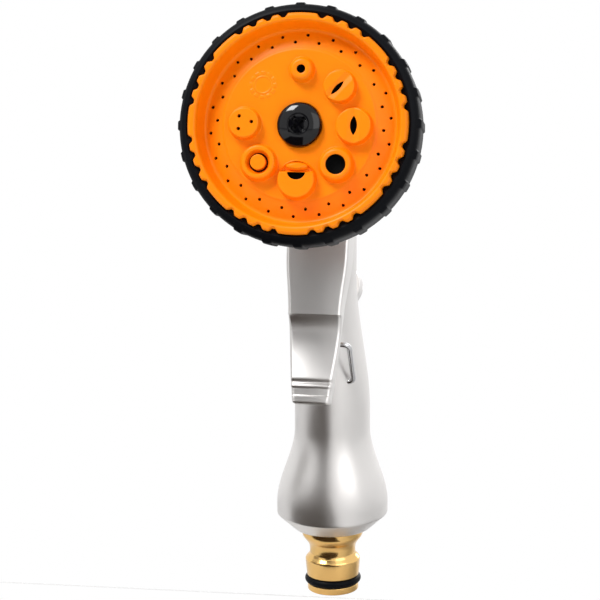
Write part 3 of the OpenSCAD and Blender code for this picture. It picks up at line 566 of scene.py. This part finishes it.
def boss(angle, radius, hole, top, shift=(0.0, 0.0), sides=180, rows=22, edge=0.75, bored=True):
    """Round boss on the face: a soft foot, a drafted wall, a soft edge, the top carved by top(u, v) and a
    port through it. Each row goes round the port's own middle, out to where it meets a circle about the
    boss."""
    turn = round_steps(sides)
    ray_way = np.stack([np.cos(turn), np.sin(turn)])
    c = np.array(shift)[:, None]
    at = np.array([[OUTLET_R * math.cos(angle)], [OUTLET_R * math.sin(angle)]])

    def circle(q):
        """Ray lengths from the port's middle to the circle of radius q about the boss."""
        d = (ray_way * c).sum(0)
        return -d + np.sqrt(np.maximum(0, d * d - (c ** 2).sum() + q * q))

    port = hole(turn)
    bevel = np.linspace(0, math.pi / 2, 7)
    wall = [(radius + 0.1, BOSS_FOOT_Y, 0), (radius + 0.45, 5.03, 0), (radius + 0.2, 4.93, 0),
            (radius, 4.65, 0), (radius - 0.12, 3.6, 0.1),
            *zip(radius - 0.25 - edge * (1 - np.cos(bevel)), BOSS_TOP + edge * (1 - np.sin(bevel)),
                 0.1 + 0.9 * np.sin(bevel))]
    lines = [(0 * turn, BOSS_FOOT_Y + 0 * turn)]
    for q, y, share in wall:
        ray = circle(q)
        lines.append((ray, np.minimum(y + share * top(*(c + ray_way * ray)), BOSS_FOOT_Y)))
    outer = circle(wall[-1][0])
    for t in np.linspace(0, 1, rows)[1:]:
        ray = outer + (port + 0.14 * bored - outer) * t
        lines.append((ray, BOSS_TOP + top(*(c + ray_way * ray))))
    edge_y = BOSS_TOP + top(*(c + ray_way * port))
    if bored:
        lines += [(port + 0.04, edge_y + 0.04), (port, edge_y + 0.14),
                  (port, np.maximum(edge_y + 0.5, 3.4)), (port, PORT_FLOOR_Y + 0 * turn),
                  (0 * turn, PORT_FLOOR_Y + 0 * turn)]
    else:
        lines.append((0 * turn, edge_y))
    ray, y = np.stack([line[0] for line in lines]), np.stack([line[1] for line in lines])
    x, z = (at + c)[:, :, None] + ray_way[:, None] * ray
    return np.stack([x, y, z], -1), grid_faces(len(lines), sides)


def in_port(angle, shift, hole, from_y):
    """Picks the faces inside a boss's port that lie deeper than from_y, for the painted shade."""
    x0 = OUTLET_R * math.cos(angle) + shift[0]
    z0 = OUTLET_R * math.sin(angle) + shift[1]

    def chosen(x, y, z):
        turn = np.arctan2(z - z0, x - x0)
        inside = np.hypot(x - x0, z - z0) < hole(turn) * 1.01
        return inside & (y > from_y) & (y < BOSS_FOOT_Y - 0.2)
    return chosen


def in_shower(x, y, z):
    """Picks the faces inside the shower pits, for the painted shade."""
    return (nearest(x, z, SHOWER_XZ) < 0.42) & (y < 9.1) & (y > 5.45)


def in_pricks(x, y, z):
    """Picks the faces inside the three jets' pits, for the painted shade."""
    return (nearest(x + OUTLET_R, z, PRICKS) < 0.48) & (y > 2.5) & (y < 4.9)


def groove(lean, half, depth):
    """V-groove across a boss at lean from level: depth * (1 - distance from its line / half)."""
    return lambda u, v: depth * np.maximum(0, 1 - np.abs(u * math.sin(lean) - v * math.cos(lean)) / half)


def lip(middle, half, depth):
    """Rounded ring: depth times the square of the distance from its crest, over half its width."""
    return lambda u, v: depth * np.minimum(1.6, ((np.hypot(u, v) - middle) / half) ** 2)


def dish(u, v):
    """Level dip 2 deep round the port, which eases up to the boss's top between 2.75 and 3.85 out."""
    return 2.0 * (1 - ease(np.hypot(u, v), 2.75, 3.85))


def pricks(places, radius, depth):
    """Small round pits at those places."""
    return lambda u, v: depth * (1 - ease(nearest(u, v, places), radius, radius + 0.12))


def rosette(u, v):
    """Shallow ring ornament, 0.14 high: 12 raised dashes round a plain ring."""
    r, turn = np.hypot(u, v), np.arctan2(v, u)
    band = ease(r, 3.0, 3.25) * (1 - ease(r, 3.9, 4.15))
    dash = 0.5 + 0.5 * np.tanh(4 * (np.cos(12 * turn) + 0.35))
    plain = ease(r, 2.2, 2.4) * (1 - ease(r, 2.6, 2.8))
    return 0.14 * (1 - np.maximum(band * dash, plain))


dial_front = ("dial", "spray_face", "orange_plastic", ORANGE)
paint_port_shade(piece("Face_shell", face_shell(), *dial_front, 30), in_shower)

EYE_LEAN = math.radians(48)
BOSSES = {                                    # angle, radius, port, top, shift of the port, edge
    "Jet_boss": (90, 3.75, round_hole(1.25), lip(2.15, 1.5, 0.55), (0, 0), 1.1),
    "Slant_boss": (45, 4.9, eye_hole(2.7, 0.68, EYE_LEAN), groove(EYE_LEAN, 1.7, 0.5), (-0.55, -0.6), 0.45),
    "Flat_boss": (0, 5.5, eye_hole(2.85, 1.0, math.pi / 2), groove(math.pi / 2, 1.9, 0.45), (0, 0), 0.5),
    "Full_boss": (-45, 5.2, round_hole(2.95), lip(3.75, 1.2, 0.42), (0, 0), 1.1),
    "Cone_boss": (-135, 5.4, round_hole(2.8), dish, (0, 0), 0.8),
}
CONE_ANGLE = math.radians(BOSSES["Cone_boss"][0])
for boss_name, (degrees, radius, hole, top, shift, edge) in BOSSES.items():
    angle = math.radians(degrees)
    shade_from = 3.5 if boss_name == "Cone_boss" else 2.75
    obj = piece(boss_name, boss(angle, radius, hole, top, shift, edge=edge), *dial_front)
    paint_port_shade(obj, in_port(angle, shift, hole, shade_from))

PRICKS = [(2.35 * math.cos(a), 2.35 * math.sin(a)) for a in np.radians([8, 126, 232])]
triple = boss(math.pi, 4.85, round_hole(0.0), pricks(PRICKS, 0.42, 2.2), rows=70, edge=0.6, bored=False)
paint_port_shade(piece("Triple_boss", triple, *dial_front), in_pricks)

SMILE_ANGLE, SMILE, SMILE_SHIFT = -math.pi / 2, smile_hole(2.65, 2.15), (0.0, 1.25)


def smile_top(u, v):
    """Level below the port; above its flat edge the top sinks, and an oval hood rises out of the dip."""
    dip = 1.7 * ease(v, 1.9, 2.7)
    hood = np.clip(1.25 - (u / 3.1) ** 2 - ((v - 3.95) / 1.15) ** 2, 0, 1)
    return dip - 1.75 * np.sqrt(hood) * ease(v, 2.3, 2.8)


smile = boss(SMILE_ANGLE, 5.75, SMILE, smile_top, SMILE_SHIFT, sides=240, rows=40, edge=0.5)
paint_port_shade(piece("Smile_boss", smile, *dial_front), in_port(SMILE_ANGLE, SMILE_SHIFT, SMILE, 2.7))


def disc(angle, radius, top, base=5.2, level=4.83, rows=40, sides=240):
    """Thin disc laid on the face, with the relief top(u, v) on it and a soft edge."""
    turn = round_steps(sides)
    r = np.array([0, radius + 0.3, radius + 0.25, *np.linspace(radius, 0, rows)])[:, None]
    u, v = r * np.cos(turn), r * np.sin(turn)
    y = level + top(u, v)
    y[:2], y[2] = base, PLATEAU_Y + 0.01
    points = np.stack([OUTLET_R * math.cos(angle) + u, y, OUTLET_R * math.sin(angle) + v], -1)
    return points, grid_faces(len(r), sides)


piece("Shower_mark", disc(math.radians(135), 4.6, rosette), *dial_front)


def in_cone_outlet(a, b, along):
    """Point about the cone outlet's own axis."""
    return np.stack([OUTLET_R * math.cos(CONE_ANGLE) + a, along, OUTLET_R * math.sin(CONE_ANGLE) + b], -1)


cone_pin = rounded([(0, 2.15, 0), (2.3, 2.15, 0.35), (2.3, 10.6, 0), (0, 10.6, 0)])
piece("Cone_pin", turned(cone_pin, in_cone_outlet, 96), "dial", "cone_insert", "orange_plastic", ORANGE)
piece("Rubber_ring", grip_ring(), "dial", "grip_ring", "black_rubber", RUBBER, 40)

DOME_FRONT, DOME_BACK, DOME_R = 1.62, 5.18, 6.62
CROSS_LEANS, CROSS_DEPTH = (42, 132), 1.3


def screw_head(sides=192):
    """Domed head: its front is an ellipse turned about the screw, with a low step at its middle and a
    cross recess in it."""
    turn = round_steps(sides)
    r = np.concatenate([[0], np.linspace(0.06, 3.6, 44), np.linspace(3.7, 6.2, 18),
                        [6.35, 6.44, 6.45, 6.45, 0]])[:, None]
    u, v = r * np.cos(turn), r * np.sin(turn)
    dome = DOME_FRONT + 2.1 * (1 - np.sqrt(np.maximum(0, 1 - (r / DOME_R) ** 2)))
    cross = 0 * u
    for lean in np.radians(CROSS_LEANS):
        a = u * math.cos(lean) + v * math.sin(lean)
        b = v * math.cos(lean) - u * math.sin(lean)
        cross = np.maximum(cross, (1 - ease(np.abs(b), 0.4, 0.75)) * (1 - ease(np.abs(a), 1.9, 2.9)))
    y = dome + 0.10 * (1 - ease(r, 2.9, 3.3)) + CROSS_DEPTH * cross
    y[-2:] = DOME_BACK
    return np.stack([u, np.minimum(y, DOME_BACK), v], -1), grid_faces(len(r), sides)


piece("Dome_screw", screw_head(), "body", "face_screw", "black_enamel", GLOSS, 30)


# --- Floor, light and camera ---

FLOOR_Z, FLOOR_HALF = -0.0045, 2.5
FADE_FROM, FADE_TO = 0.05, 0.28               # the floor turns white to the camera between these distances
AMBIENT = 0.14


def rectangle(name, corners, material):
    """Flat stage object with those four corners."""
    mesh = bpy.data.meshes.new(name)
    mesh.from_pydata(corners, [], [(0, 1, 2, 3)])
    mesh.materials.append(material)
    obj = bpy.data.objects.new(name, mesh)
    bpy.context.scene.collection.objects.link(obj)
    return obj


def area_lamp(name, place, size, power, aim=(0, 0, 0.08)):
    """Rectangular soft lamp at a place in the frame, pointed at aim."""
    lamp = bpy.data.lights.new(name, "AREA")
    lamp.shape = "RECTANGLE"
    lamp.size, lamp.size_y = size
    lamp.energy = power
    obj = bpy.data.objects.new(name, lamp)
    obj.location = place
    obj.rotation_euler = (Vector(aim) - Vector(place)).to_track_quat("-Z", "Y").to_euler()
    bpy.context.scene.collection.objects.link(obj)


def card(name, centre, across, upward, colour):
    """Flat card that only reflections see: centre, and the ways from it to its side and its top."""
    c, a, u = Vector(centre), Vector(across), Vector(upward)
    mat, nodes, link, _, _ = new_material(name)
    glow = nodes.new("ShaderNodeEmission")
    glow.inputs["Color"].default_value = (*colour, 1)
    link(glow.outputs[0], nodes["Material Output"].inputs["Surface"])
    obj = rectangle(name, [c - a - u, c + a - u, c + a + u, c - a + u], mat)
    obj.visible_camera = obj.visible_diffuse = obj.visible_shadow = False


def pale_floor():
    """Plain floor that keeps the shadow near the object and fades to white for the camera further out."""
    mat = finish_of("Pale floor", (0.86, 0.86, 0.86), 0.6, specular=0.2, depth=0.0, tint=0.0)
    nodes, link = mat.node_tree.nodes, mat.node_tree.links.new
    reach = nodes.new("ShaderNodeVectorMath")
    reach.operation = "LENGTH"
    link(nodes["Texture Coordinate"].outputs["Object"], reach.inputs[0])
    fade = nodes.new("ShaderNodeMapRange")
    fade.inputs["From Min"].default_value = FADE_FROM
    fade.inputs["From Max"].default_value = FADE_TO
    link(reach.outputs["Value"], fade.inputs["Value"])
    rays = nodes.new("ShaderNodeLightPath")
    share = calculated(nodes, link, "MULTIPLY", rays.outputs["Is Camera Ray"], fade.outputs["Result"])
    white = nodes.new("ShaderNodeEmission")
    blend = nodes.new("ShaderNodeMixShader")
    link(share, blend.inputs["Fac"])
    link(nodes["Principled BSDF"].outputs["BSDF"], blend.inputs[1])
    link(white.outputs["Emission"], blend.inputs[2])
    link(blend.outputs["Shader"], nodes["Material Output"].inputs["Surface"])
    h = FLOOR_HALF
    rectangle("Floor", [(-h, -h, FLOOR_Z), (h, -h, FLOOR_Z), (h, h, FLOOR_Z), (-h, h, FLOOR_Z)], mat)


def studio_world():
    """White world: full strength for camera, glossy and transmission rays, dim for the light it gives."""
    world = bpy.data.worlds.new("Studio")
    bpy.context.scene.world = world
    world.use_nodes = True
    nodes, link = world.node_tree.nodes, world.node_tree.links.new
    nodes.clear()
    rays = nodes.new("ShaderNodeLightPath")
    seen = calculated(nodes, link, "MAXIMUM", rays.outputs["Is Camera Ray"], rays.outputs["Is Glossy Ray"])
    seen = calculated(nodes, link, "MAXIMUM", seen, rays.outputs["Is Transmission Ray"])
    strength = nodes.new("ShaderNodeMapRange")
    strength.inputs["To Min"].default_value = AMBIENT
    strength.inputs["To Max"].default_value = 1.0
    link(seen, strength.inputs["Value"])
    sky = nodes.new("ShaderNodeBackground")
    sky.inputs["Color"].default_value = (1, 1, 1, 1)
    link(strength.outputs["Result"], sky.inputs["Strength"])
    link(sky.outputs[0], nodes.new("ShaderNodeOutputWorld").inputs["Surface"])


VIEW_ANGLE, VIEW_RISE, VIEW_ROLL = math.radians(9.6), math.radians(-4.4), math.radians(2.7)
VIEW_DISTANCE, LENS, SENSOR = 1.115, 228.0, 36.0
DIAL_ASIDE, DIAL_ABOVE = -0.005, 0.2953       # where the dial shows, in widths of the view from its middle


def main_camera():
    """Long lens aimed past the dial, so that the whole nozzle fits: angle round the object, rise, roll."""
    to_camera = Vector((math.sin(VIEW_ANGLE) * math.cos(VIEW_RISE),
                        -math.cos(VIEW_ANGLE) * math.cos(VIEW_RISE), math.sin(VIEW_RISE)))
    level = (-to_camera).cross(Vector((0, 0, 1))).normalized()
    upright = level.cross(-to_camera)
    right = level * math.cos(VIEW_ROLL) + upright * math.sin(VIEW_ROLL)
    up = upright * math.cos(VIEW_ROLL) - level * math.sin(VIEW_ROLL)
    view_width = VIEW_DISTANCE * SENSOR / LENS
    spot = Vector(DIAL) + to_camera * VIEW_DISTANCE - (right * DIAL_ASIDE + up * DIAL_ABOVE) * view_width
    lens = bpy.data.cameras.new("Camera")
    lens.lens, lens.sensor_width = LENS, SENSOR
    camera = bpy.data.objects.new("Camera", lens)
    bpy.context.scene.collection.objects.link(camera)
    aimed = Matrix((right, up, to_camera)).transposed().to_4x4()
    camera.matrix_world = Matrix.Translation(spot) @ aimed
    bpy.context.scene.camera = camera


pale_floor()
area_lamp("Key", (-0.7, -1.0, 1.3), (0.6, 0.6), 26)
area_lamp("Fill", (0.9, -1.0, 0.5), (1.0, 1.0), 5)
area_lamp("Back", (0.3, 1.2, 0.9), (1.0, 0.8), 8)
studio_world()
main_camera()
bpy.context.scene.view_settings.view_transform = "Standard"

card("Dark flag", (-0.22, -0.9, 0.06), (0.22, 0.0, 0), (0, 0, 0.36), (0.02, 0.016, 0.014))
card("Dark mat", (-0.085, -0.25, -0.0042), (0.10, 0.0, 0), (0, 0.23, 0), (0.05, 0.038, 0.03))
card("Grey wing left", (-0.95, -0.25, 0.2), (0.12, -0.25, 0), (0, 0, 0.5), (0.4, 0.39, 0.38))
